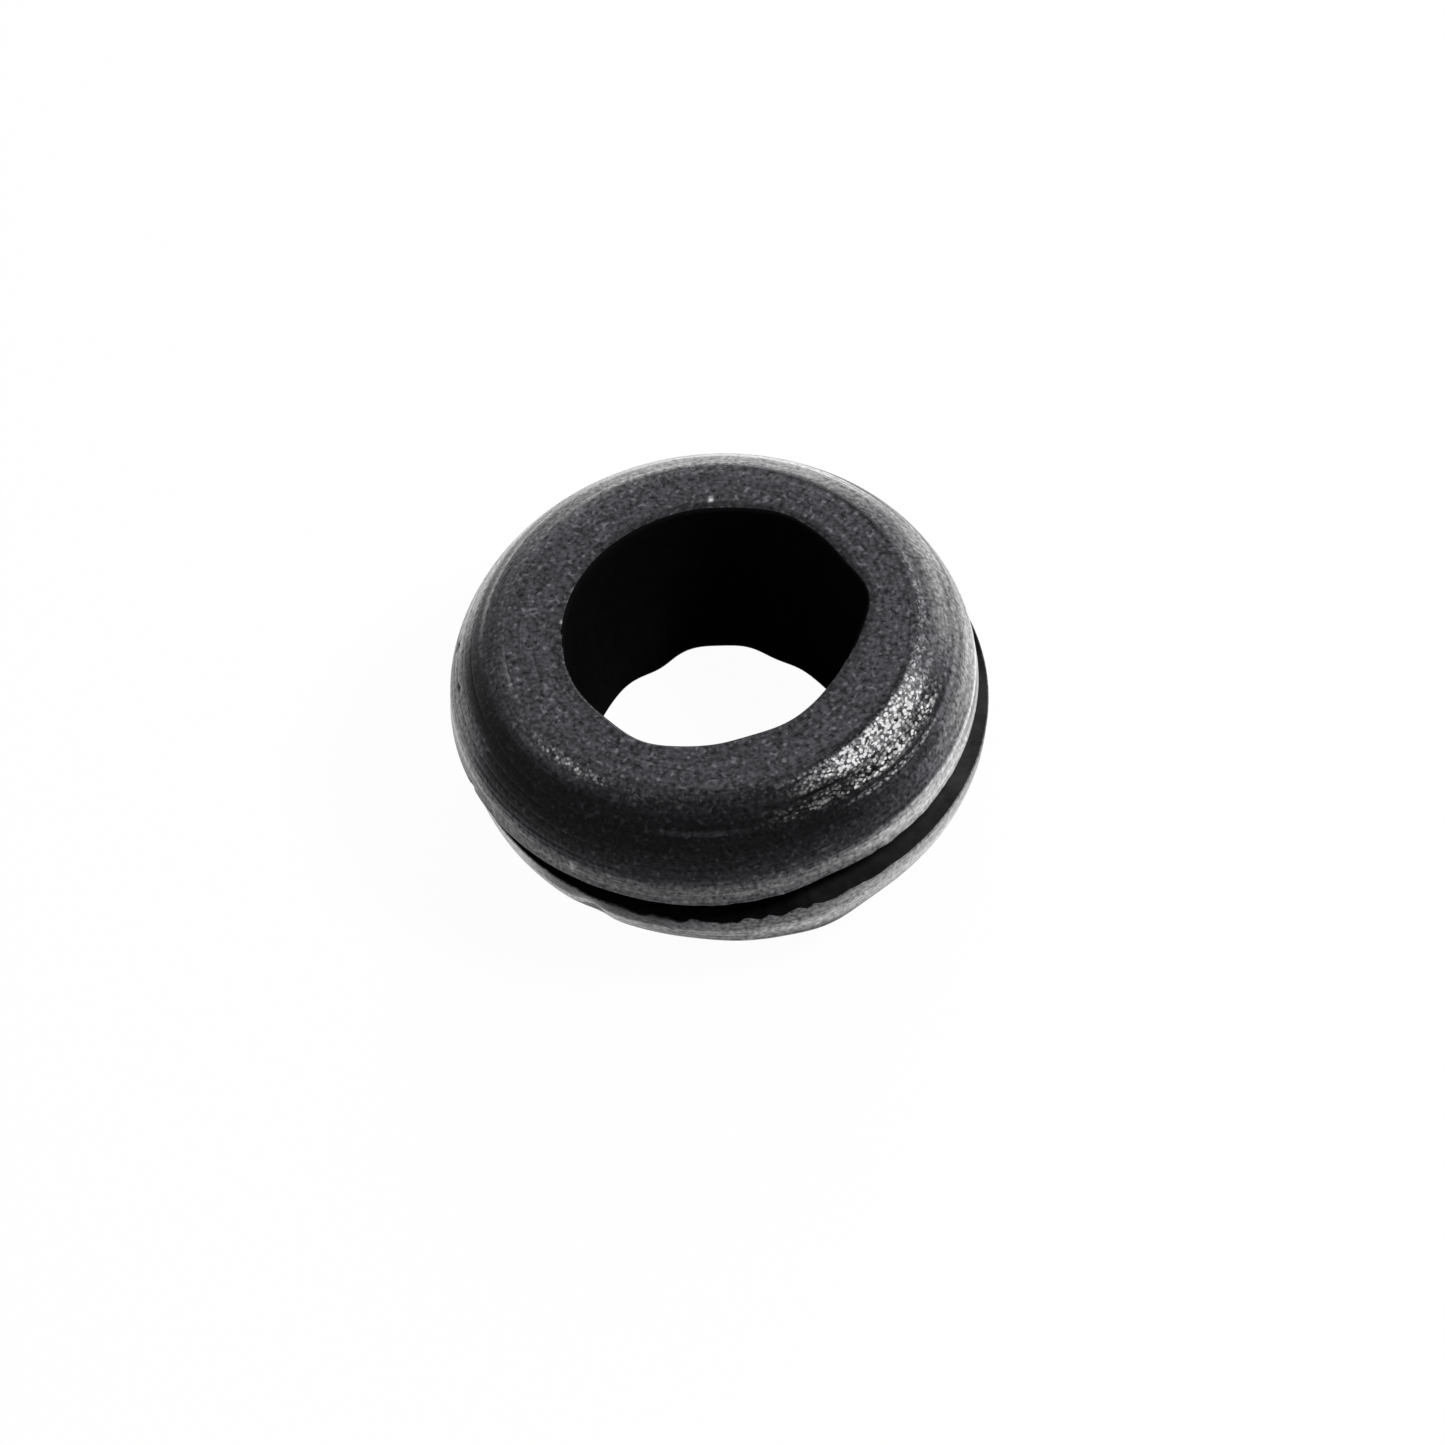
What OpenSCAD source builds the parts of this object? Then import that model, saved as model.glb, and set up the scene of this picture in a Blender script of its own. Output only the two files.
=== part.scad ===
// Open rubber grommet: one moulded ring with two matching flanges and a panel
// groove between them. The groove grips the edge of a round hole in sheet
// metal, and the bore guards the cable that passes through. The soft ring is
// drawn as it has relaxed: its flanges have moved a little off the bore's axis,
// to opposite sides, and the upper rim of the bore has spread in two places.
// Millimetres. Z runs along the bore, and the lower flat face lies on Z = 0.

/* [Fit] */
// Diameter of the cable bore
bore_d = 9.5; // [6:0.1:11]
// Diameter of the panel hole, which the neck fills
panel_hole_d = 12.7; // [11.8:0.1:15]
// Thickness of the panel that the groove takes
panel_t = 0.8; // [0.6:0.1:2]

/* [Flanges] */
// Outer diameter of both flanges
flange_d = 17.5; // [16.5:0.1:22]
// Thickness of each flange, from the groove to its flat face
flange_t = 3.15; // [2:0.05:4.5]
// Outer diameter of the flat face
face_d = 13.5; // [11:0.1:15.5]
// Height of the upright land beside the groove
land_h = 0.75; // [0.3:0.05:1.5]
// Draft of the land, in degrees from upright
land_draft = 6; // [0:1:12]

/* [Shoulder] */
// How far the round of the shoulder stands out from a straight bevel
shoulder_bulge = 0.39; // [0.1:0.01:0.6]
// Number of turned bands that make up the round
bands = 8; // [3:1:12]
// Width of each band, as a share of the next one towards the face
band_ratio = 0.8; // [0.6:0.05:0.95]

/* [Edges] */
// Radius that breaks both rims of the bore
bore_rim_r = 0.12; // [0.05:0.01:0.5]
// Fillet at the root of the groove
groove_root_r = 0.2; // [0.05:0.05:0.3]

/* [Relaxed form] */
// How far each flange has moved off the bore's axis
flange_shift = 0.16; // [0:0.01:0.3]
// Direction in which the upper flange has moved, in degrees from X
shift_azimuth = 160; // [0:5:355]
// How far the upper rim of the bore stands out in its wide spread
wide_spread = 0.4; // [0.1:0.05:0.5]
// Direction of the wide spread, in degrees from X
wide_azimuth = 30; // [0:5:355]
// How far the upper rim of the bore stands out in its narrow spread
narrow_spread = 0.3; // [0.1:0.05:0.5]
// Angle from the wide spread round to the narrow one
narrow_turn = 210; // [110:5:250]
// How far down the bore both spreads reach
spread_depth = 2.2; // [1:0.1:3]

/* [Hidden] */

ring_fn = 96;
edge_fn = 24;
overlap = 0.01;

// How far the neck's solid reaches into each flange
neck_bite = 0.6;
// How much rounder the rim is where it has spread
rim_ease = 1.6;
// Radius of each spread's own arc, as a share of the bore's
wide_arc = 0.96;
narrow_arc = 0.74;

bore_r = bore_d / 2;
spread_rim_r = rim_ease * bore_rim_r;
neck_r = panel_hole_d / 2;
lip_r = flange_d / 2;
face_r = face_d / 2;
half_groove = panel_t / 2;
half_height = half_groove + flange_t;
flange_move = flange_shift * [cos(shift_azimuth), sin(shift_azimuth), 0];

// The shoulder's round runs from the outer edge of the flat face down to the
// top of the land, on an arc whose chord and bulge are known.
face_edge = [face_r, half_height];
land_top = [lip_r - land_h * tan(land_draft), half_groove + land_h];
chord = land_top - face_edge;
chord_tilt = atan2(-chord.y, chord.x);
shoulder_r = (pow(norm(chord) / 2, 2) + pow(shoulder_bulge, 2)) / (2 * shoulder_bulge);
half_sweep = asin(norm(chord) / 2 / shoulder_r);
shoulder_centre = face_edge - shoulder_r * outward(chord_tilt - half_sweep);

// Direction that leans outwards from straight up by an angle
function outward(tilt) = [sin(tilt), cos(tilt)];

// Share of the round used up by the first n bands, each narrower than the last
function band_share(n) = (1 - pow(band_ratio, n)) / (1 - pow(band_ratio, bands));

// Point on the round where band n ends
function band_end(n) =
    shoulder_centre
    + shoulder_r * outward(chord_tilt + half_sweep * (2 * band_share(n) - 1));

// What a rounding takes off an outer corner, or adds to an inner one. The
// corner is at the origin and the section lies up and to the right of it.
module corner_round(r) {
    difference() {
        translate([-overlap, -overlap]) square(r + overlap);
        translate([r, r]) circle(r, $fn = edge_fn);
    }
}

// One flange, filled to its axis, above the middle plane of the groove
module flange() {
    rotate_extrude($fn = ring_fn)
    polygon(concat(
        [[0, half_groove], [lip_r, half_groove]],
        [for (n = [bands:-1:0]) band_end(n)],
        [[0, half_height]]
    ));
}

// The neck between the flanges, with a fillet at each root of the groove
module neck() {
    rotate_extrude($fn = ring_fn) {
        translate([0, -half_groove - neck_bite])
        square([neck_r, panel_t + 2 * neck_bite]);
        for (side = [0, 1])
            mirror([0, side])
            translate([neck_r, half_groove])
            mirror([0, 1])
            corner_round(groove_root_r);
    }
}

// What rounding the upper rim of an opening of radius r takes off
module rim_round(r, round_r) {
    translate([r, half_height])
    mirror([0, 1])
    corner_round(round_r);
}

// The round, straight bore, with both rims broken
module bore() {
    rotate_extrude($fn = ring_fn) {
        translate([0, -half_height - overlap])
        square([bore_r, 2 * (half_height + overlap)]);
        for (side = [0, 1])
            mirror([0, side])
            rim_round(bore_r, bore_rim_r);
    }
}

// Spread of the soft upper rim. It flares up from the wall of the bore, on an
// arc tighter than the bore's, so that it runs out on both sides of its azimuth.
module rim_spread(reach, arc_r, azimuth) {
    foot = half_height - spread_depth;
    rotate([0, 0, azimuth])
    translate([bore_r + reach - arc_r, 0, 0])
    rotate_extrude($fn = ring_fn) {
        polygon([
            [0, foot],
            [arc_r - reach - overlap, foot],
            [arc_r, half_height - spread_rim_r],
            [arc_r, half_height + overlap],
            [0, half_height + overlap]
        ]);
        rim_round(arc_r, spread_rim_r);
    }
}

// The ring before its upper rim spread: both flanges, the neck and the bore
module bored_ring() {
    difference() {
        union() {
            neck();
            translate(flange_move) flange();
            mirror([0, 0, 1]) translate(-flange_move) flange();
        }
        bore();
    }
}

module grommet() {
    color("#232427")
    translate([0, 0, half_height])
    difference() {
        bored_ring();
        rim_spread(wide_spread, wide_arc * bore_r, wide_azimuth);
        rim_spread(narrow_spread, narrow_arc * bore_r, wide_azimuth + narrow_turn);
    }
}

grommet();
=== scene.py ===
"""Open rubber grommet, dressed in its frame.

The piece is one moulded ring: two matching flanges with turned shoulders, a panel groove
between them and a bore for the cable. Sizes in the classes are millimetres or degrees, and
meshes are metres. Heights are counted up from the middle plane of the groove, and azimuths
turn from +X towards +Y.
"""

import logging
import math
from dataclasses import dataclass, field
from enum import Enum
from functools import cached_property

import bpy
import numpy as np
from mathutils import Matrix, Vector


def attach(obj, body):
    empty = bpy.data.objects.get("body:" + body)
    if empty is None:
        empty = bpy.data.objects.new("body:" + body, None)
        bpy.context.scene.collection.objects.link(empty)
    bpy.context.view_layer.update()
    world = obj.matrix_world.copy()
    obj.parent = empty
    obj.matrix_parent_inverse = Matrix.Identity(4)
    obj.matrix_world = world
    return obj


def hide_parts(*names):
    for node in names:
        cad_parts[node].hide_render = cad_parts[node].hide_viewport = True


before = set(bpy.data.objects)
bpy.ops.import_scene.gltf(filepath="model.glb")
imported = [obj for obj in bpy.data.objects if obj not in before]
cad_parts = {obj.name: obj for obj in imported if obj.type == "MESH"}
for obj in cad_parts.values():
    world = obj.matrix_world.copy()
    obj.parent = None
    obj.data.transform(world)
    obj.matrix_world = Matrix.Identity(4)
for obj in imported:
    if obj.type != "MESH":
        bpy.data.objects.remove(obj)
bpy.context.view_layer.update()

log = logging.getLogger("grommet")

# Short names for some of Blender's types
Socket = bpy.types.NodeSocket
Outputs = bpy.types.NodeOutputs
Tree = bpy.types.NodeTree
Material = bpy.types.Material
Object = bpy.types.Object

MM = 0.001
BODY = "root"
NODE = "grommet"
WHITE = (1.0, 1.0, 1.0, 1.0)
HALF_TURN = 180.0
FULL_TURN = 360.0

# Points of the drawn section, and of the spun ring, are one when they are closer than this, in metres
DRAWN_GAP = 1e-7
SPUN_GAP = 1e-6
# What counts as lying on a surface of the section, in millimetres
ON_SURFACE = 0.001
# The part of a cut that doesn't call for one more
CUT_SLACK = 1e-4
# The shape of a bevel that makes a true round
ROUND_PROFILE = 0.5
# How many corners each face of the spun ring has
FACE_CORNERS = 4
# Numbers of the Mix node's sockets, several of which share a name
FLOAT_A, FLOAT_B, COLOUR_A, COLOUR_B, COLOUR_OUT = 2, 3, 6, 7, 2
# The range that a noise texture seldom leaves, and the middle of all random colours
NOISE_LOW, NOISE_HIGH = 0.25, 0.75
MID_COLOUR = (0.5, 0.5, 0.5)


# ---------------------------------------------------------------- helpers


def linear_colour(code: str) -> tuple[float, float, float, float]:
    """Turns an sRGB hex colour into the linear colour that shaders take.

    Args:
        code: The colour as "#rrggbb".

    Returns:
        Red, green, blue and an alpha of 1.
    """
    straight_part, slope, offset, power = 0.04045, 12.92, 0.055, 2.4
    levels = [channel / 255 for channel in bytes.fromhex(code.lstrip("#"))]
    linear = [v / slope if v <= straight_part else ((v + offset) / (1 + offset)) ** power for v in levels]
    return (*linear, 1.0)


def add_node(
    tree: Tree, kind: str, inputs: dict[str | int, object] | None = None, **settings: object
) -> Outputs:
    """Adds one shader node with its settings, its plain values and its links.

    Args:
        tree: The node tree that takes the node.
        kind: The node's type, without its leading "ShaderNode".
        inputs: What goes into an input, by its name or number. A socket is linked to it, and
            anything else becomes its plain value.
        settings: Properties of the node itself.

    Returns:
        The new node's outputs.
    """
    node = tree.nodes.new(f"ShaderNode{kind}")
    for name, value in settings.items():
        setattr(node, name, value)
    for name, value in (inputs or {}).items():
        if isinstance(value, Socket):
            tree.links.new(value, node.inputs[name])
        else:
            node.inputs[name].default_value = value
    return node.outputs


def new_tree(owner: Material | bpy.types.World) -> Tree:
    """Turns nodes on for a material or the world, and empties its tree.

    Args:
        owner: The material or the world.

    Returns:
        Its node tree, with no node in it.
    """
    owner.use_nodes = True
    owner.node_tree.nodes.clear()
    return owner.node_tree


def deselect_all() -> None:
    """Deselects every object, so that an operator acts on nothing unasked."""
    bpy.ops.object.select_all(action="DESELECT")


class Element(Enum):
    """What is selected in edit mode, by its name there."""

    VERTEX = "VERT"
    EDGE = "EDGE"


def select_only(piece: Object, kind: Element, indices: list[int]) -> None:
    """Selects some vertices or edges of the active piece, and stays in edit mode.

    Args:
        piece: The active object, in object mode.
        kind: What to select.
        indices: Which of them to select.
    """
    bpy.ops.object.mode_set(mode="EDIT")
    bpy.ops.mesh.select_mode(type=kind.value)
    bpy.ops.mesh.select_all(action="DESELECT")
    bpy.ops.object.mode_set(mode="OBJECT")
    elements = piece.data.vertices if kind is Element.VERTEX else piece.data.edges
    for index in indices:
        elements[index].select = True
    bpy.ops.object.mode_set(mode="EDIT")


def smooth(t: np.ndarray) -> np.ndarray:
    """Runs smoothly from 0 to 1 as t does, and stays there outside."""
    t = np.clip(t, 0.0, 1.0)
    return t * t * (3 - 2 * t)


def hump(distance: np.ndarray, half_width: float) -> np.ndarray:
    """Gives a bell-shaped share, 1 at no distance and near 0 at twice the half width."""
    return np.exp(-((distance / half_width) ** 2))


def turn_between(azimuth: np.ndarray, centre: float) -> np.ndarray:
    """Gives the angle from a centre to each azimuth, at most half a turn to either side."""
    return (azimuth - centre + HALF_TURN) % FULL_TURN - HALF_TURN


# ---------------------------------------------------------------- the ring's section


class Zone(Enum):
    """Stretches of the half section, in order from the middle of the bore."""

    BORE = "bore"
    FACE = "face"
    BANDS = "bands"
    LAND = "land"
    GROOVE = "groove"
    NECK = "neck"


@dataclass(frozen=True)
class RingOutline:
    """Half section of the relaxed ring, above the middle plane of the groove."""

    bore_r: float = 4.72
    neck_r: float = 6.35
    lip_r: float = 8.745
    face_r: float = 6.69
    half_groove: float = 0.4
    flange_t: float = 3.15
    land_h: float = 0.75
    land_draft: float = 6.0
    shoulder_bulge: float = 0.39
    bands: int = 8
    band_ratio: float = 0.8
    # Fine turned lines, one at the upper end of each band
    line_half_w: float = 0.035
    line_depth: float = 0.018

    @property
    def half_height(self) -> float:
        """Height of the flat face over the middle plane."""
        return self.half_groove + self.flange_t

    @property
    def land_top(self) -> np.ndarray:
        """Radius and height of the top of the upright land."""
        inset = self.land_h * math.tan(math.radians(self.land_draft))
        return np.array([self.lip_r - inset, self.half_groove + self.land_h])

    @staticmethod
    def outward(tilt: float) -> np.ndarray:
        """Direction that leans outwards from straight up by a tilt in radians."""
        return np.array([math.sin(tilt), math.cos(tilt)])

    def band_ends(self) -> list[np.ndarray]:
        """Works out where the turned bands end, each narrower than the one above it.

        Returns:
            Radius and height of each end, from the flat face down to the land.
        """
        face_edge = np.array([self.face_r, self.half_height])
        chord = self.land_top - face_edge
        length = float(np.hypot(*chord))
        chord_tilt = math.atan2(-chord[1], chord[0])
        radius = ((length / 2) ** 2 + self.shoulder_bulge**2) / (2 * self.shoulder_bulge)
        half_sweep = math.asin(length / 2 / radius)
        centre = face_edge - radius * self.outward(chord_tilt - half_sweep)
        whole = 1 - self.band_ratio**self.bands
        shares = [(1 - self.band_ratio**n) / whole for n in range(self.bands + 1)]
        tilts = [chord_tilt + half_sweep * (2 * share - 1) for share in shares]
        return [centre + radius * self.outward(tilt) for tilt in tilts]

    def zones(self) -> list[tuple[Zone, list[np.ndarray]]]:
        """Lists the stretches of the half section, from the bore to the neck.

        Returns:
            Each zone with the points that end its edges.
        """
        ends = self.band_ends()
        return [
            (Zone.BORE, [np.array([self.bore_r, self.half_height])]),
            (Zone.FACE, [ends[0]]),
            (Zone.BANDS, ends[1:]),
            (Zone.LAND, [np.array([self.lip_r, self.half_groove])]),
            (Zone.GROOVE, [np.array([self.neck_r, self.half_groove])]),
            (Zone.NECK, [np.array([self.neck_r, 0.0])]),
        ]

    def corners(self) -> list[np.ndarray]:
        """Gives every corner of the half section, from the middle of the bore to the neck."""
        return [np.array([self.bore_r, 0.0])] + [p for _, points in self.zones() for p in points]

    def runs(self) -> np.ndarray:
        """Gives the distance along the half section from the middle of the bore to each corner."""
        steps = np.diff(np.array(self.corners()), axis=0)
        return np.concatenate([[0.0], np.cumsum(np.hypot(steps[:, 0], steps[:, 1]))])

    def zone_run(self, zone: Zone) -> tuple[float, float]:
        """Finds where a zone lies along the half section.

        Args:
            zone: The zone to find.

        Returns:
            The distances from the middle of the bore at which it starts and ends.
        """
        runs, corner = self.runs(), 0
        for name, points in self.zones():
            if name is zone:
                return float(runs[corner]), float(runs[corner + len(points)])
            corner += len(points)
        raise ValueError(f"the outline has no zone {zone}")

    def line_corners(self) -> range:
        """Numbers the corners that carry a fine turned line, one at the upper end of each band."""
        face_edge = 2
        return range(face_edge, face_edge + self.bands)

    def with_lines(self) -> list[np.ndarray]:
        """Gives the corners with each turned line cut in as a shallow vee.

        Returns:
            Radius and height of each point, from the middle of the bore to the neck.
        """
        corners = self.corners()
        points = []
        for n, corner in enumerate(corners):
            if n not in self.line_corners():
                points.append(corner)
                continue
            back = corners[n - 1] - corner
            ahead = corners[n + 1] - corner
            back, ahead = back / np.hypot(*back), ahead / np.hypot(*ahead)
            inwards = (back + ahead) / np.hypot(*(back + ahead))
            points += [
                corner + back * self.line_half_w,
                corner + inwards * self.line_depth,
                corner + ahead * self.line_half_w,
            ]
        return points

    def locate(self, radius: np.ndarray, height: np.ndarray) -> np.ndarray:
        """Finds how far along the half section each point lies.

        Args:
            radius: Distances from the bore's axis.
            height: Distances from the middle plane, upwards or downwards.

        Returns:
            The distance along the section of the nearest point on it.
        """
        corners, runs = np.array(self.corners()), self.runs()
        spots = np.stack([radius, np.abs(height)], axis=-1)
        best_gap = np.full(len(spots), np.inf)
        best_run = np.zeros(len(spots))
        for start, end, run in zip(corners[:-1], corners[1:], runs[:-1]):
            edge = end - start
            length = float(np.hypot(*edge))
            share = np.clip((spots - start) @ edge / length**2, 0.0, 1.0)
            gap = np.hypot(*(spots - start - share[:, None] * edge).T)
            nearer = gap < best_gap
            best_gap = np.where(nearer, gap, best_gap)
            best_run = np.where(nearer, run + share * length, best_run)
        return best_run


@dataclass(frozen=True)
class RingPoints:
    """Points of the true ring in millimetres, one to a row, with heights from the middle plane."""

    spots: np.ndarray
    outline: RingOutline

    @property
    def height(self) -> np.ndarray:
        """Height of each point from the middle plane."""
        return self.spots[:, 2]

    @cached_property
    def radius(self) -> np.ndarray:
        """Distance of each point from the bore's axis."""
        return np.hypot(self.spots[:, 0], self.spots[:, 1])

    @cached_property
    def azimuth(self) -> np.ndarray:
        """Azimuth of each point."""
        return np.degrees(np.arctan2(self.spots[:, 1], self.spots[:, 0]))

    @cached_property
    def run(self) -> np.ndarray:
        """Distance of each point along the half section, from the middle of the bore."""
        return self.outline.locate(self.radius, self.height)

    def past(self, zone: Zone) -> np.ndarray:
        """Gives how far along the half section each point lies past the end of a zone."""
        return self.run - self.outline.zone_run(zone)[1]

    def beside(self, azimuth: float, half_width: float) -> np.ndarray:
        """Gives a bell-shaped share of each point, 1 at an azimuth and less to its sides."""
        return hump(turn_between(self.azimuth, azimuth), half_width)


# ---------------------------------------------------------------- how the soft ring sits


@dataclass(frozen=True)
class Lobe:
    """One stretch of a rim or a lip that stands out from the round, or in from it."""

    azimuth: float
    half_width: float
    bulge: float


@dataclass(frozen=True)
class Blemish:
    """A nick or a bump in the surface: its place, its reach and how far it stands out."""

    azimuth: float
    height: float
    reach: float
    rise: float


@dataclass(frozen=True)
class RelaxedRubber:
    """How the soft ring has settled away from a true round form."""

    # The flanges' slide off the bore's axis, the upper face's own slide, and the rubber beside
    # the bore that hardly follows them
    flange_shift: float = 0.16
    shift_azimuth: float = 160.0
    face_shift: tuple[float, float] = (0.09, 0.055)
    held_width: float = 1.3
    # How far the lobes of the bore's rims reach down the bore and over the face
    lobe_depth: float = 3.0
    lobe_spread: float = 1.3
    upper_rim: tuple[Lobe, ...] = (
        Lobe(-162, 22, 0.15),
        Lobe(-122, 14, 0.21),
        Lobe(-80, 14, -0.15),
        Lobe(-40, 27, -0.19),
        Lobe(7, 15, 0.40),
        Lobe(34, 12, 0.12),
        Lobe(56, 18, 0.28),
        Lobe(90, 14, 0.07),
    )
    lower_rim: tuple[Lobe, ...] = (
        Lobe(34, 28, -0.52),
        Lobe(62, 13, -0.30),
        Lobe(86, 12, -0.15),
        Lobe(116, 12, -0.36),
        Lobe(146, 24, -0.20),
    )
    upper_lip: tuple[Lobe, ...] = (Lobe(-66, 12, -0.09),)
    lower_shoulder: tuple[Lobe, ...] = (
        Lobe(-127, 3.5, -0.12),
        Lobe(-89, 11, 0.17),
        Lobe(-74, 9, 0.25),
    )
    shoulder_height: float = -1.9
    shoulder_reach: float = 0.6
    lip_sag: tuple[Lobe, ...] = (Lobe(-97, 14, -0.1), Lobe(-18, 16, 0.08))
    blemishes: tuple[Blemish, ...] = (
        Blemish(169, 1.89, 0.16, -0.08),
        Blemish(-178.5, 1.96, 0.18, -0.08),
        Blemish(-160, 0.5, 0.14, -0.06),
        Blemish(-151, 0.58, 0.14, -0.06),
        Blemish(-126.5, -1.5, 0.5, -0.15),
        Blemish(-91, -1.60, 0.14, 0.09),
    )
    # Moulding flash along the front of the lower lip, and the fray above it on the upper one
    flash_centre: float = -95.0
    flash_half_width: float = 32.0
    flash_tooth: float = 0.25
    flash_rise: float = 0.34
    flash_drop: float = 0.13
    flash_reach: float = 0.18
    lip_fray: float = 0.12
    fray_tooth: float = 0.25
    fray_centre: float = -65.0
    fray_half_width: float = 40.0
    # The slight unevenness of both lips
    lip_waviness: float = 0.03
    lip_wave: float = 8.0
    mean_tooth: float = 0.5
    seed: int = 11

    @staticmethod
    def over_groove(points: RingPoints) -> np.ndarray:
        """Runs smoothly from 0 under the groove to 1 over it."""
        return smooth(points.height / points.outline.half_groove / 2 + 0.5)

    @staticmethod
    def lobes(points: RingPoints, rim: tuple[Lobe, ...]) -> np.ndarray:
        """Adds up how far a rim's lobes stand out from the round at each point."""
        bulges = [lobe.bulge * points.beside(lobe.azimuth, lobe.half_width) for lobe in rim]
        return sum(bulges, np.zeros_like(points.azimuth))

    @staticmethod
    def teeth(points: RingPoints, tooth: float, rng: np.random.Generator) -> np.ndarray:
        """Gives an uneven lip, with one random height for each tooth round it.

        Args:
            points: The ring's points.
            tooth: Mean spacing of the teeth.
            rng: The seeded source of the heights.

        Returns:
            A height from 0 to 1 at each point, in step where the lip's ends join.
        """
        count = int(math.tau * points.outline.lip_r / tooth)
        places = np.linspace(-HALF_TURN, HALF_TURN, count + 1)
        heights = rng.random(count + 1)
        heights[-1] = heights[0]
        return np.interp(points.azimuth, places, heights)

    def settle(self, points: RingPoints) -> np.ndarray:
        """Moves the points of a true ring to where the soft one has them.

        Args:
            points: The ring's points.

        Returns:
            The moved points, one to a row.
        """
        rng = np.random.default_rng(self.seed)
        outline, radius = points.outline, points.radius
        on_lips = smooth((radius - outline.face_r) / (outline.lip_r - outline.face_r))
        lips = self.over_groove(points) * self.lobes(points, self.upper_lip)
        wave = self.teeth(points, self.lip_wave, rng) - 1
        move_out = self.rim_moves(points) + (lips + self.lip_waviness * wave) * on_lips

        height = points.height.copy()
        above, below = height > 0, height < 0
        from_lip = points.past(Zone.LAND)
        at_lip = hump(from_lip, self.flash_reach)
        flashed = at_lip * below * points.beside(self.flash_centre, self.flash_half_width)
        flash = self.teeth(points, self.flash_tooth, rng) - self.mean_tooth
        height += flashed * (self.flash_rise * flash - self.flash_drop)
        height += hump(from_lip, outline.land_h) * above * self.lobes(points, self.lip_sag)
        frayed = at_lip * above * points.beside(self.fray_centre, self.fray_half_width)
        fray = self.teeth(points, self.fray_tooth, rng) - self.mean_tooth
        height += self.lip_fray * frayed * fray

        off_face = radius > outline.face_r
        swollen = hump(height - self.shoulder_height, self.shoulder_reach) * off_face
        move_out += swollen * self.lobes(points, self.lower_shoulder)
        for blemish in self.blemishes:
            along = np.radians(turn_between(points.azimuth, blemish.azimuth)) * radius
            away = np.hypot(along, points.height - blemish.height)
            move_out += blemish.rise * hump(away, blemish.reach) * off_face

        plan = points.spots[:, :2]
        plan = plan + plan / radius[:, None] * move_out[:, None] + self.shifts(points)
        return np.column_stack([plan, height])

    def rim_moves(self, points: RingPoints) -> np.ndarray:
        """Works out how far the bore's rims push each point outwards.

        Args:
            points: The ring's points.

        Returns:
            The move away from the axis at each point.
        """
        outline, height = points.outline, points.height
        near_bore = 1 - smooth((points.radius - outline.bore_r) / self.lobe_spread)
        near_bore *= points.past(Zone.FACE) < 0
        near_top = smooth((height - outline.half_height + self.lobe_depth) / self.lobe_depth)
        near_foot = smooth((-height - outline.half_height + self.lobe_depth) / self.lobe_depth)
        bulge = self.lobes(points, self.upper_rim) * near_top
        return near_bore * (bulge + self.lobes(points, self.lower_rim) * near_foot)

    def shifts(self, points: RingPoints) -> np.ndarray:
        """Works out how far the flanges carry each point sideways, while the bore stays put.

        Args:
            points: The ring's points.

        Returns:
            The move along X and Y at each point.
        """
        turn = math.radians(self.shift_azimuth)
        flange_way = self.flange_shift * np.array([math.cos(turn), math.sin(turn)])
        flange = self.over_groove(points) * 2 - 1
        crown = smooth((points.height - points.outline.half_groove) / points.outline.flange_t)
        free = smooth((points.radius - points.outline.bore_r) / self.held_width)
        return (flange * free)[:, None] * flange_way + (crown * free)[:, None] * np.array(self.face_shift)


# ---------------------------------------------------------------- finishes


@dataclass(frozen=True)
class Mark:
    """A patch that changes the skin. Some are wear and marks of the mould; many are painted
    reflection, painted highlights and painted shade.

    Its run is counted along the section from the outer edge of the flat face, outwards and
    down, and its level is the change at its middle. The two powers set how flat its top is and
    how fast it ends.
    """

    azimuth: float
    half_width: float
    run: float
    run_half_width: float
    level: float
    turn_power: int = 4
    run_power: int = 6

    def on(self, points: RingPoints) -> np.ndarray:
        """Works out what the mark adds to the skin.

        Args:
            points: The ring's points.

        Returns:
            The change at each point, up to the mark's level.
        """
        along = turn_between(points.azimuth, self.azimuth) / self.half_width
        across = (points.past(Zone.FACE) - self.run) / self.run_half_width
        return self.level * np.exp(-(along**self.turn_power) - across**self.run_power)


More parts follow.
